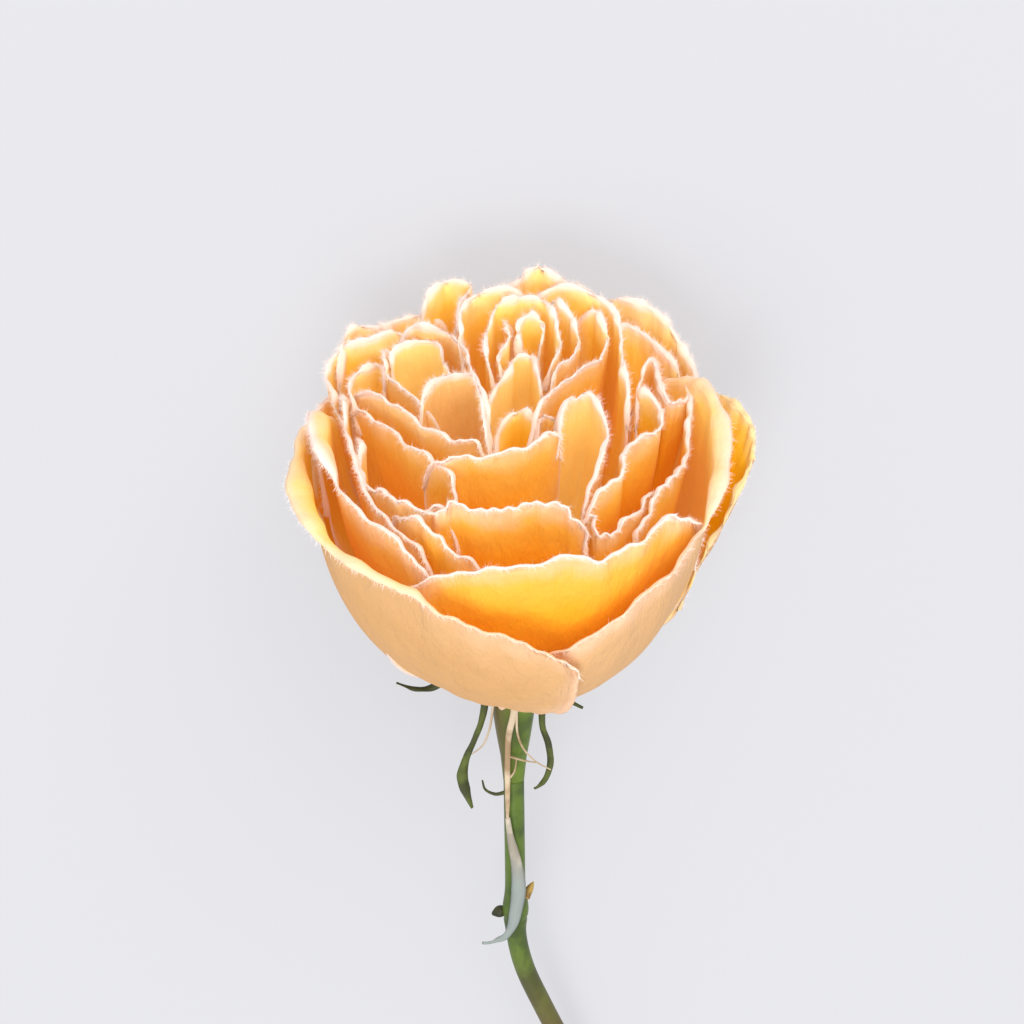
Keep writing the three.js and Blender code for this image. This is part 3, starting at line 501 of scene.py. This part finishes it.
# %% List the petals
PETALS = [
    # five guard petals
    dict(name="guard_front_left", pale=0.1, blush=0.5, ruffle=0.5, corner=0,
         lip=[0, 1, 4, 7, 5, 4, 3, 2, 1, 0, 0, 0], rim=[
        (-38, 24, 42), (-43, 14, 49), (-43, 3, 50), (-41, -10, 50), (-38, -21, 51),
        (-31, -31, 51), (-21, -38, 50), (-14, -41, 47), (-7, -43, 44), (2, -44, 41),
        (9, -42.5, 36), (13, -39.5, 28)]),
    dict(name="guard_front_right", pale=0.55, blush=0.8, ruffle=0.5,
         lip=[0, 0, 0, 0, 0, 1, 4, 5, 4, 3, 0], rim=[
        (-4, -33, 24), (4, -36.5, 30), (11, -39.5, 36), (21, -37, 43), (30, -30, 46), (36, -20, 48),
        (40, -9, 51), (41, 3, 55), (39, 13, 59), (35, 20, 56), (28, 26, 50)]),
    dict(name="guard_right", pale=0.0, blush=0.0, ruffle=1.1, cup=80, rim=[
        (35, -3, 18), (42, 4, 27), (47, 9, 35), (50, 13, 42), (50, 18, 46), (47, 23, 48),
        (41, 31, 46), (32, 38, 42), (22, 41, 35)]),
    dict(name="guard_back", pale=0.2, blush=0.2, ruffle=1.0, cup=84, rim=[
        (30, 31, 32), (25, 39, 42), (15, 44, 49), (4, 46, 51), (-7, 46, 51), (-18, 42, 48),
        (-26, 36, 42), (-29, 29, 33)]),
    dict(name="guard_back_left", pale=0.2, blush=0.2, ruffle=0.9, cup=86, rim=[
        (-37, -2, 28), (-42, 6, 38), (-41, 16, 44), (-37, 26, 45), (-30, 35, 45), (-19, 41, 42),
        (-9, 42, 34)]),
    # second row
    dict(name="second_front", pale=0.1, blush=0.4, ruffle=0.7, cup=90,
         lip=[0, 0, 0, 0, 0, 0, 0, 1, 2, 1, 0], rim=[
        (-27, -27, 34), (-21, -33, 45), (-13, -36, 52), (-3, -38, 56), (9, -37, 57),
        (18, -34, 55), (25, -29, 56), (32, -21, 54), (37, -14, 45), (37, -8, 33)]),
    dict(name="second_left", pale=0.35, blush=0.9, ruffle=0.4, lip=[2, 6, 5, 1, 0, 0, 0, 0, 0], rim=[
        (-36, 16, 48), (-38, 9, 55), (-38, 0, 56), (-35, -11, 55), (-30, -21, 55),
        (-23, -29, 55), (-18, -32, 51), (-15, -33, 46), (-12, -33, 36)]),
    dict(name="second_back_left", pale=0.2, blush=0.3, ruffle=0.9, rim=[
        (-39, 2, 40), (-41, 10, 47), (-41, 18, 50), (-38, 25, 49), (-32, 32, 50), (-22, 37, 50),
        (-12, 39, 42)]),
    dict(name="second_back", pale=0.2, blush=0.2, ruffle=1.0, rim=[
        (-20, 33, 44), (-12, 39, 54), (-2, 41, 60), (8, 41, 60), (17, 38, 55), (22, 33, 44)]),
    dict(name="second_back_right", pale=0.3, blush=0.5, ruffle=0.6, lip=[0, 0, 1, 2, 2, 1, 0], rim=[
        (13, 36, 56), (20, 36, 66), (28, 35, 65), (32, 33, 62), (35, 30, 58), (38, 25, 55),
        (38, 16, 46)]),
    dict(name="second_right", pale=0.1, blush=0.3, ruffle=0.8, cup=90, rim=[
        (36, 25, 50), (37, 18, 55), (36, 10, 55), (35, 2, 53), (33, -6, 53), (29, -13, 55),
        (26, -20, 54), (24, -25, 50), (20, -28, 42)]),
    # third row
    dict(name="third_left", pale=0.3, blush=0.6, ruffle=0.5, cup=90, rim=[
        (-35, 18, 52), (-35, 12, 58), (-34, 5, 57), (-32, -5, 55), (-29, -14, 54),
        (-23, -23, 53), (-18, -28, 50), (-14, -29, 42)]),
    dict(name="third_front_left", pale=0.05, blush=0.3, ruffle=0.5, cup=92, rim=[
        (-25, -16, 48), (-22, -20, 54), (-18, -25, 56), (-14, -28, 54), (-9, -31, 52),
        (-4, -31, 44)]),
    dict(name="third_front", pale=0.1, blush=0.7, ruffle=0.7, cup=92, rim=[
        (-19, -19, 50), (-15, -24, 58), (-11, -23, 60), (-6, -25, 59), (-1, -25, 60),
        (4, -24, 61), (9, -25, 60), (13, -26, 57), (15, -26, 48)]),
    dict(name="third_front_right", pale=0.05, blush=0.3, ruffle=0.6, cup=92, rim=[
        (12, -24, 48), (15, -23, 56), (17, -26, 54), (20, -25, 54), (24, -19, 54), (27, -12, 53),
        (28, -5, 46)]),
    dict(name="third_right", pale=0.1, blush=0.3, ruffle=0.6, cup=90, rim=[
        (13, -23, 52), (17, -19, 59), (21, -14, 60), (22, -7, 60), (27, -1, 59), (30, 7, 58),
        (27, 12, 60), (24, 14, 58)]),
    dict(name="third_right_fold", pale=0.1, blush=0.2, ruffle=0.5, rim=[
        (25, 9, 57), (26, 16, 61), (29, 21, 61), (30, 17, 59), (32, 12, 57), (35, 14, 56),
        (36, 20, 57), (34, 25, 54)]),
    dict(name="third_back_right", pale=0.3, blush=0.4, ruffle=0.5, cup=86, rim=[
        (18, 30, 58), (23, 31, 63), (27, 31, 61), (31, 29, 58), (34, 26, 56), (35, 20, 50)]),
    dict(name="third_back", pale=0.45, blush=0.4, ruffle=0.6, rim=[
        (-11, 34, 58), (-4, 36, 67), (1, 37, 70), (5, 37, 74), (9, 37, 71), (15, 36, 68),
        (20, 34, 65), (24, 31, 56)]),
    dict(name="third_back_left", pale=0.35, blush=0.4, ruffle=0.5, rim=[
        (-37, 22, 52), (-36, 29, 59), (-34, 32, 62), (-28, 33, 61), (-24, 33, 63), (-18, 33, 64),
        (-12, 33, 58)]),
    # left quarter
    dict(name="left_outer", pale=0.2, blush=0.3, ruffle=0.5, rim=[
        (-33, 8, 48), (-36, 13, 53), (-38, 18, 55), (-39, 24, 57), (-35, 28, 60), (-30, 29, 61),
        (-25, 29, 63), (-19, 29, 58)]),
    dict(name="left_front_outer", pale=0.25, blush=0.3, ruffle=0.5, cup=92, rim=[
        (-32, 8, 50), (-31, 1, 55), (-31, -5, 54), (-28, -12, 54), (-24, -17, 56),
        (-19, -21, 57), (-14, -22, 57), (-11, -23, 50)]),
    dict(name="left_front_middle", pale=0.25, blush=0.2, ruffle=0.4, cup=92, rim=[
        (-33, 16, 52), (-32, 12, 55), (-27, 6, 56), (-21, -2, 58), (-16, -9, 59), (-12, -15, 59),
        (-10, -20, 54)]),
    dict(name="left_front_inner", pale=0.25, blush=0.2, ruffle=0.4, cup=92, rim=[
        (-34, 20, 52), (-31, 15, 57), (-24, 8, 60), (-18, 0, 61), (-13, -6, 62), (-7, -8, 63),
        (-4, -10, 58)]),
    dict(name="left_back_curl", pale=0.3, blush=0.1, ruffle=0.3, rim=[
        (-32, 12, 54), (-34, 18, 57), (-32, 23, 57), (-29, 25, 57), (-27, 22, 58), (-27, 17, 56)]),
    dict(name="left_inner_fold", pale=0.3, blush=0.1, ruffle=0.3, rim=[
        (-26, 28, 60), (-27, 24, 61), (-26, 19, 60), (-23, 13, 60), (-19, 8, 60), (-14, 4, 57)]),
    dict(name="left_heart", pale=0.9, blush=0.1, ruffle=0.3, cup=86, rim=[
        (-25, 18, 57), (-25, 23, 62), (-21, 25, 63), (-16, 23, 64), (-14, 17, 64), (-12, 12, 62)]),
    dict(name="left_heart_cup", pale=0.9, blush=0.1, ruffle=0.3, cup=86, rim=[
        (-19, 3, 60), (-17, 9, 64), (-12, 11, 65), (-8, 9, 66), (-6, 1, 66), (-5, -7, 63)]),
    dict(name="left_divider", pale=0.35, blush=0.2, ruffle=0.4, rim=[
        (-25, 27, 61), (-20, 27, 66), (-14, 24, 66), (-10, 18, 66), (-8, 11, 66), (-6, 3, 66),
        (-4, -4, 63)]),
    # back quarter, a swirl that opens towards the heart
    dict(name="back_left_curl", pale=0.3, blush=0.2, ruffle=0.3, rim=[
        (-19, 27, 62), (-19, 31, 66), (-17, 34, 70), (-13, 36, 71), (-9, 34, 71), (-11, 31, 69),
        (-12, 27, 67)]),
    dict(name="back_outer", pale=0.3, blush=0.2, ruffle=0.4, rim=[
        (2, 33, 66), (10, 34, 71), (17, 32, 70), (21, 29, 68), (22, 24, 66), (22, 18, 64),
        (23, 12, 63), (23, 5, 60)]),
    dict(name="back_left_arc", pale=0.3, blush=0.2, ruffle=0.4, rim=[
        (-10, 16, 64), (-11, 22, 67), (-11, 28, 69), (-8, 32, 70), (-3, 33, 71), (3, 33, 71)]),
    dict(name="back_right_arc", pale=0.25, blush=0.2, ruffle=0.4, rim=[
        (5, 32, 70), (9, 30, 70), (12, 27, 68), (13, 22, 66), (12, 17, 65), (9, 14, 65),
        (7, 9, 63)]),
    dict(name="back_fold", pale=0.2, blush=0.2, ruffle=0.4, rim=[
        (13, 31, 67), (17, 29, 68), (19, 24, 66), (18, 19, 64), (14, 14, 64), (8, 7, 65),
        (5, 1, 65), (3, -4, 62)]),
    dict(name="back_inner", pale=0.35, blush=0.1, ruffle=0.4, rim=[
        (-4, 12, 64), (-6, 18, 66), (-5, 24, 68), (-3, 29, 70), (1, 31, 70), (5, 31, 70),
        (8, 28, 69), (9, 23, 67), (9, 18, 66), (6, 14, 64)]),
    dict(name="back_inner_fold", pale=0.3, blush=0.1, ruffle=0.3, rim=[
        (-2, 13, 62), (-3, 18, 65), (-1, 22, 66), (-2, 26, 68), (0, 28, 68)]),
    dict(name="back_curl", pale=0.3, blush=0.1, ruffle=0.3, rim=[
        (1, 21, 64), (1, 26, 67), (4, 28, 68), (6, 25, 67), (5, 22, 66)]),
    dict(name="back_tongue", pale=0.8, blush=0.1, ruffle=0.3, rim=[
        (-6, 3, 60), (-4, 9, 62), (-1, 15, 63), (1, 19, 64), (4, 18, 64), (5, 12, 63),
        (6, 6, 60)]),
    # front and heart
    dict(name="front_inner", pale=0.15, blush=0.2, ruffle=0.5, cup=92, rim=[
        (-18, -8, 56), (-14, -12, 61), (-8, -12, 63), (0, -12, 64), (6, -9, 65), (9, -3, 65)]),
    dict(name="front_flap", pale=0.9, blush=0.5, ruffle=0.4, cup=90, rim=[
        (8, -6, 62), (11, 3, 65), (15, 5, 65), (18, -3, 63), (17, -12, 61), (14, -19, 57),
        (12, -21, 50)]),
    dict(name="heart_curl_left", pale=0.1, blush=0.0, ruffle=0.3, cup=90, rim=[
        (-4, -3, 58), (-1, 2, 61), (2, 3, 62), (4, 0, 61), (3, -4, 59)]),
    dict(name="heart_curl_right", pale=0.1, blush=0.0, ruffle=0.3, cup=90, rim=[
        (4, -4, 60), (5, 1, 62), (8, 0, 62), (9, -4, 60)]),
]
print("petals:", len(PETALS))

# %% Make the petals
GUARD_PETALS = 5
rims = []
for order, petal in enumerate(PETALS):
    guard = order < GUARD_PETALS
    fuzz = petal.get("fuzz", 0.35 if guard else 1)
    sheet, edge = petal_sheet(order, petal["rim"], petal.get("cup", 88), petal.get("lip", ()),
                              petal["ruffle"], petal.get("corner", 5), seed=order)
    points = press_on_table(on_table(sheet))
    mesh = sheet_mesh(petal["name"], points,
                      {"edge": edge, "pale": petal["pale"], "blush": petal["blush"], "fuzz": fuzz})
    made = piece(petal["name"] + "_skin", mesh, [guard_outside if guard else outside, inside],
                 petal["name"])
    thicken(made, PETAL_THICKNESS, second=1)
    rims.append((points, fuzz))

# %% [markdown]
# ## Down on the rims
#
# The very edge of each petal is frayed into fine, pale hairs, most of them under a millimetre. Each
# hair here is a needle with three long sides that stands on the rim, leans outwards and points in a
# slightly different direction from its neighbours.

# %% Grow the down
HAIRS_PER_MM = 16
HAIR_LENGTH = (0.4, 1.7)
HAIR_WIDTH = 0.032


def hairs_on(points, share, chance):
    """Needles along the last row of a petal's grid, as lists of corners and faces."""
    rim, inner = points[:, -1], points[:, -3]
    span = np.linalg.norm(np.diff(rim, axis=0), axis=1)
    needles = []
    for k, length in enumerate(span):
        for _ in range(round(length / MM * HAIRS_PER_MM * share)):
            t = chance.random()
            foot = rim[k] * (1 - t) + rim[k + 1] * t
            outwards = foot - inner[k]
            outwards /= max(np.linalg.norm(outwards), 1e-9)
            spread = np.array([chance.gauss(0, 0.55) for _ in range(3)])
            direction = outwards + spread
            direction /= np.linalg.norm(direction)
            size = chance.uniform(*HAIR_LENGTH) ** 1.3 * MM
            needles.append((foot - direction * 0.1 * MM, direction * size))
    return needles


chance = random.Random(3)
hair_corners, hair_faces = [], []
for points, share in rims:
    for foot, way in hairs_on(points, share, chance):
        sideways = np.cross(way, [0.3, 0.5, 0.8])
        sideways *= HAIR_WIDTH * MM / max(np.linalg.norm(sideways), 1e-12)
        other = np.cross(way, sideways)
        other *= HAIR_WIDTH * MM / max(np.linalg.norm(other), 1e-12)
        start = len(hair_corners)
        hair_corners += [foot + sideways, foot - sideways / 2 + other, foot - sideways / 2 - other,
                         foot + way]
        hair_faces += [(start, start + 2, start + 1), (start, start + 1, start + 3),
                       (start + 1, start + 2, start + 3), (start + 2, start, start + 3)]
down_mesh = bpy.data.meshes.new("rim_down")
down_mesh.from_pydata(np.maximum(np.array(hair_corners), [-9, -9, 0.0]).tolist(), [], hair_faces)
down, down_tree, down_skin = shader_tree("petal_down")
down_skin.inputs["Base Color"].default_value = colour(255, 242, 234)
down_skin.inputs["Roughness"].default_value = 0.6
piece("rim_down", down_mesh, [down], None)
print("hairs:", len(hair_faces) // 4)

# %% [markdown]
# ## Green parts
#
# Under the petals sits the hip, fresh green, with painted shade that turns its shaded side olive and
# brown. It narrows into the stem, which carries one swelling where a leaf fell off, with a small dark
# bud on one side of it and the leaf's stub on the other. Towards its cut end the stem turns reddish.

# %% Mix the plant materials
def plant_skin(name, main, other, patch_size, gloss=0.45, grain_size=900, relief=0.3, glow=0.0):
    """A matt skin in two colours that run into each other in patches, with a fine grain."""
    material, tree, skin = shader_tree(name)
    patches = grain(tree, patch_size, 4.0)
    shade = blend(tree, between(tree, patches, 0.38, 0.62), main, other)
    specks = grain(tree, grain_size, 4.0, stretch=(1, 0.25, 1))
    shade = blend(tree, times(tree, between(tree, specks, 0.5, 0.72), 0.4), shade, other)
    tree.links.new(shade, skin.inputs["Base Color"])
    skin.inputs["Roughness"].default_value = gloss
    skin.inputs["Specular IOR Level"].default_value = 0.35
    skin.inputs["Subsurface Weight"].default_value = glow
    skin.inputs["Subsurface Radius"].default_value = (0.8, 1.0, 0.3)
    skin.inputs["Subsurface Scale"].default_value = 1.0 * MM
    bump = add(tree, "ShaderNodeBump", {"Height": specks, "Strength": relief, "Distance": 0.2 * MM})
    tree.links.new(bump.outputs[0], skin.inputs["Normal"])
    return material, tree, skin, shade


def shift_along(mix, axis, low, high, other):
    """Runs towards another colour along X or Y, in millimetres from the petals' attachment."""
    material, tree, skin, shade = mix
    place = add(tree, "ShaderNodeTexCoord").outputs["Object"]
    split = add(tree, "ShaderNodeSeparateXYZ", {0: place}).outputs[axis]
    start = {"X": ATTACHMENT.x, "Y": ATTACHMENT.y}[axis]
    shade = blend(tree, between(tree, split, start + low * MM, start + high * MM), shade, other)
    tree.links.new(shade, skin.inputs["Base Color"])
    return material


stem_green = shift_along(plant_skin("stem_green", colour(84, 106, 32), colour(56, 74, 24), 110, 0.42),
                         "Y", -72, -116, colour(92, 70, 40))
# Painted shade: the hip turns olive and brown towards its left side, where it lies in shade.
hip_green = shift_along(plant_skin("hip_green", colour(96, 118, 32), colour(70, 88, 28), 110, 0.4),
                        "X", 1.0, -5, colour(92, 76, 32))
sepal_green = plant_skin("sepal_green", colour(84, 94, 34), colour(58, 62, 28), 160, 0.55, relief=0.6)[0]
dry_pale = plant_skin("dry_pale", colour(204, 184, 156), colour(160, 132, 100), 150, 0.8, 500, 0.8)[0]
bract_grey = shift_along(plant_skin("bract_grey", colour(196, 184, 164), colour(150, 142, 128), 170,
                                    0.7, 600, 0.8), "Y", -50, -62, colour(138, 146, 142))
bud_dark = plant_skin("bud_dark", colour(66, 66, 36), colour(40, 40, 24), 400, 0.6)[0]
stub_brown = plant_skin("stub_brown", colour(168, 138, 70), colour(116, 84, 44), 300, 0.7)[0]
heart_gold = plant_skin("heart_gold", colour(226, 160, 60), colour(190, 120, 40), 500, 0.6)[0]
print("plant materials mixed")


# %% Helpers: tubes, ribbons, and the frame along the table
def beside_head(points):
    """Millimetres across, along and above the table, measured from the attachment, as metres."""
    return np.asarray(points, float) * MM + np.array([ATTACHMENT.x, ATTACHMENT.y, 0])


def tube(line, radii, sides=40):
    """A grid of rings around a line; radii holds one number a ring or one a ring and side."""
    radii = np.broadcast_to(np.asarray(radii, float).reshape(len(line), -1), (len(line), sides + 1))
    ahead = np.gradient(line, axis=0)
    ahead /= np.linalg.norm(ahead, axis=1, keepdims=True)
    side = np.cross(ahead, [0, 0, 1])
    side /= np.linalg.norm(side, axis=1, keepdims=True)
    over = np.cross(side, ahead)
    turn = np.linspace(0, 2 * math.pi, sides + 1)
    reach = np.cos(turn)[:, None, None] * side + np.sin(turn)[:, None, None] * over
    return line[None] + reach * radii.T[:, :, None]


def ribbon(route, widths, facing, fold=0.2, waver=0.0, seed=0, across_steps=6, steps=10):
    """A grid for a narrow leaf along a route, folded along its middle and wavy at its edges."""
    spots = np.linspace(0, len(route) - 1, steps * (len(route) - 1) + 1)
    line = smooth_line(route, spots)
    width = np.interp(spots / spots[-1], np.linspace(0, 1, len(widths)), widths)
    ahead = np.gradient(line, axis=0)
    across = np.cross(ahead, facing)
    across /= np.linalg.norm(across, axis=1, keepdims=True)
    over = np.cross(across, ahead)
    over /= np.linalg.norm(over, axis=1, keepdims=True)
    chance = random.Random(seed)
    start = [chance.uniform(0, 2 * math.pi) for _ in range(2)]
    rows = []
    for share in np.linspace(-1, 1, across_steps + 1):
        lift = fold * width * (1 - share ** 2)
        wave = waver * share * np.sin(spots * 5.1 + start[0 if share < 0 else 1])
        rows.append(line + across * (share * width / 2)[:, None] + over * (lift + wave)[:, None])
    return np.array(rows)


def solid_of(name, points, material, node, thickness=None):
    """A dressed piece from a grid: a closed body, or a sheet that gets a thickness."""
    mesh = sheet_mesh(name, points, {}, closed=thickness is None)
    made = piece(name + "_skin", mesh, [material], node)
    if thickness:
        thicken(made, thickness)
    return made


print("helpers ready")

# %% Hip and stem
HIP_LEAN = math.radians(11.5)
HIP_OUTLINE = [(0.7, 5.1), (3, 5.6), (9, 5.5), (14, 4.9), (19, 4.3), (23, 3.75), (28, 2.95), (34.6, 2.33)]
downs = np.linspace(HIP_OUTLINE[0][0], HIP_OUTLINE[-1][0], 46)
hip_line = on_table([(0, -d * math.sin(HIP_LEAN), -d * math.cos(HIP_LEAN)) for d in downs])
hip_radii = np.interp(downs, *zip(*HIP_OUTLINE))
turns = np.linspace(0, 2 * math.pi, 41)
ribs = 1 + 0.02 * np.cos(5 * turns)[None, :] * np.linspace(1, 0.3, len(downs))[:, None]
solid_of("hip", tube(hip_line, hip_radii[:, None] * ribs * MM), hip_green, "hip")

STEM_RADIUS = 2.3
STEM_ROUTE = [(0, -33.8, 21.9), (0.2, -50, 19.2), (0.4, -66, 16.6), (0.6, -76, 14.9), (2.4, -85, 13.4),
              (7, -97, 11.2), (17, -120, 6.9), (27, -144, 2.8), (29, -149, 2.4)]
NODE_PLACE = -69
stem_line = smooth_line(STEM_ROUTE, np.linspace(0, len(STEM_ROUTE) - 1, 161))
swelling = 0.7 * np.exp(-((stem_line[:, 1] - NODE_PLACE) / 4) ** 2)
ring_mark = 0.25 * np.exp(-((stem_line[:, 1] - NODE_PLACE + 2) / 0.5) ** 2)
solid_of("stem", tube(beside_head(stem_line), (STEM_RADIUS + swelling - ring_mark) * MM), stem_green,
         "stem")


def small_body(name, centre, direction, length, outline, material):
    """A small round body along a direction: outline holds the radius at even steps."""
    direction = np.asarray(direction, float) / np.linalg.norm(direction)
    steps = np.linspace(0, 1, 25)
    line = np.asarray(centre) + np.outer((steps - 0.5) * length, direction)
    radii = np.interp(steps, np.linspace(0, 1, len(outline)), outline)
    return solid_of(name, tube(beside_head(line), radii * MM, sides=20), material, name)


small_body("side_bud", (-3.5, -70, 15.8), (-1, -0.4, 0), 3.2, [0.9, 1.3, 1.4, 1.25, 0.85, 0.3],
           bud_dark)
small_body("leaf_stub", (3.6, -63.6, 17), (0.44, 0.9, 0.02), 4.2, [1.15, 1.0, 0.95, 0.8, 0.5, 0.1],
           stub_brown)
print("hip, stem, bud and stub made")

# %% [markdown]
# ## Sepals and the dried bract
#
# Five narrow sepals once wrapped the bud. Two hang beside the hip, two stick out behind the head and
# one, dried to pale threads, lies over the front. Further down a papery bract clings to the stem and
# curls away at its tip.

# %% Sepals and bract
SEPALS = [
    ("sepal_left", [3.2, 2.4, 1.5, 1.2, 1.1, 1.4, 2.4, 2.2, 0.4], (0, -1, 0.3),
     [(-5.2, -1, -3.5), (-6.6, -3, -8), (-6.4, -4.5, -13), (-7.2, -5, -18), (-8.6, -5, -23),
      (-10.6, -5.2, -29), (-11.5, -5.6, -34), (-10.9, -6, -38), (-9.4, -6.4, -43.5)]),
    ("sepal_right", [3.2, 2.2, 1.4, 1.2, 1.3, 1.3, 1, 0.4], (0, -1, 0.3),
     [(5.4, -1, -3.5), (6.7, -3, -8), (6.3, -4.5, -13), (6.3, -5, -19), (7.7, -5, -25),
      (8.1, -5.4, -31), (6.4, -6, -36), (4.6, -6.2, -37.5)]),
    ("sepal_back_left", [3.2, 2.6, 2, 1.4, 0.9, 0.4], (0.3, -0.4, 1),
     [(-4.2, 3.6, -3), (-9, 5, -8.5), (-14, 5, -13.5), (-18.5, 4, -16.3), (-22, 3.4, -16), (-26, 3, -13.8)]),
    ("sepal_back_right", [3.2, 2.6, 1.9, 1.3, 0.4], (-0.3, -0.4, 1),
     [(4.2, 3.6, -3), (6.2, 5, -9.5), (8.4, 4.4, -16), (11.2, 3.6, -19), (15.4, 3, -21.4)]),
    ("sepal_front", [2.6, 1.4, 1.1, 1.1, 0.9, 0.4], (0, -1, 0.2),
     [(1, -7.4, -5), (0.2, -8.4, -11), (-1.1, -9, -18), (-1.4, -9.6, -26), (-1.4, -10.6, -33),
      (-1.4, -11.4, -37.5), (-1.4, -12.1, -42)]),
]
for number, (name, widths, facing, route) in enumerate(SEPALS):
    dry = name == "sepal_front"
    grid = on_table(ribbon(route, widths, facing, fold=0.25, waver=0.15, seed=number))
    solid_of(name, grid, dry_pale if dry else sepal_green, name, 0.3)
BRACT_ROUTE = [(-1.4, -12, -41), (-0.6, -13.2, -47), (0.6, -14.4, -53), (1.1, -15.8, -60),
               (0.4, -17.5, -66), (-0.9, -18.7, -71), (-3.6, -18.9, -74), (-7.2, -18.4, -75.5)]
BRACT_WIDTHS = [0.9, 1.6, 2.4, 3.2, 2.8, 1.8, 1.2, 0.4]
bract = ribbon(BRACT_ROUTE, BRACT_WIDTHS, (0, -1, 0.2), fold=0.3, waver=0.25, seed=8)
solid_of("dried_bract", on_table(bract), bract_grey, "dried_bract", 0.25)
print("sepals and bract made")

# %% Dried threads and the small hook beside the hip
def joined(name, grids):
    """One mesh from several closed grids."""
    bm = bmesh.new()
    for grid in grids:
        part = sheet_mesh(name, grid, {}, closed=True)
        bm.from_mesh(part)
        bpy.data.meshes.remove(part)
    mesh = bpy.data.meshes.new(name)
    bm.to_mesh(mesh)
    bm.free()
    return mesh


def thread(route, thick, thin):
    """A fine round thread that tapers along its route."""
    line = smooth_line(route, np.linspace(0, len(route) - 1, 12 * (len(route) - 1) + 1))
    return tube(on_table(line), np.linspace(thick, thin, len(line)) * MM, sides=8)


THREADS = [
    [(0.6, -8.2, -11), (0.8, -9, -17.5), (2.1, -9.4, -21.8), (5, -9.6, -25.8), (8.2, -9.4, -28.4)],
    [(-1.2, -9.4, -24.2), (2.4, -9.7, -25.3), (5, -9.6, -26)],
    [(-1.2, -9.8, -31), (0.1, -9.9, -28.5), (0.6, -9.6, -24.8)],
    [(-4.4, -5.5, -11), (-5.3, -6.3, -18.6), (-6.8, -6.6, -23.5), (-9.3, -6, -27)],
]
thread_mesh = joined("dried_threads", [thread(route, 0.3, 0.14) for route in THREADS])
piece("dried_threads", thread_mesh, [dry_pale], None)
HOOK = [(-1.6, -8.6, -36.2), (-4.1, -8.6, -36.9), (-6.3, -8.5, -35.6), (-7, -8.4, -32.8)]
piece("side_hook", joined("side_hook", [thread(HOOK, 0.5, 0.2)]), [sepal_green], None)
print("threads:", len(THREADS))

# %% [markdown]
# ## The heart
#
# Deep between the inner petals, out of sight, a ring carries the stamens and the styles rise in
# the middle.

# %% Stamens and styles
HEART_FLOOR = 14
STAMEN_COUNT = 9
STAMEN_RING = 1.15
STAMEN_LENGTH = 9
ring_heights = np.linspace(0, 0.8, 4) + HEART_FLOOR - 0.4
parts = [tube(on_table([(0, 0, h) for h in ring_heights]), np.array([1.4, 1.6, 1.6, 1.4]) * MM, 24)]
for k in range(STAMEN_COUNT):
    bearing = 2 * math.pi * k / STAMEN_COUNT
    x, y = STAMEN_RING * math.cos(bearing), STAMEN_RING * math.sin(bearing)
    heights = np.linspace(0, STAMEN_LENGTH, 16) + HEART_FLOOR
    thickness = np.interp(np.linspace(0, 1, 16), [0, 0.75, 0.82, 0.95, 1], [0.16, 0.14, 0.42, 0.42, 0.1])
    parts.append(tube(on_table([(x, y, h) for h in heights]), thickness * MM, 10))


piece("stamens_skin", joined("stamens", parts), [heart_gold], "stamens")
style_heights = np.linspace(0, 7.6, 24) + STYLES_FOOT
style_radii = np.interp(np.linspace(0, 1, 24), [0, 0.5, 0.9, 1], [0.5, 0.35, 0.6, 0.2])
style_tube = tube(on_table([(0, 0, h) for h in style_heights]), style_radii * MM, 14)
piece("styles_skin", joined("styles", [style_tube]), [heart_gold], "styles")
print("heart made")

# %% Sizes, for comparison with the plain solids
low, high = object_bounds()
print("dressed size in mm:", [round((b - a) / MM, 1) for a, b in zip(low, high)])
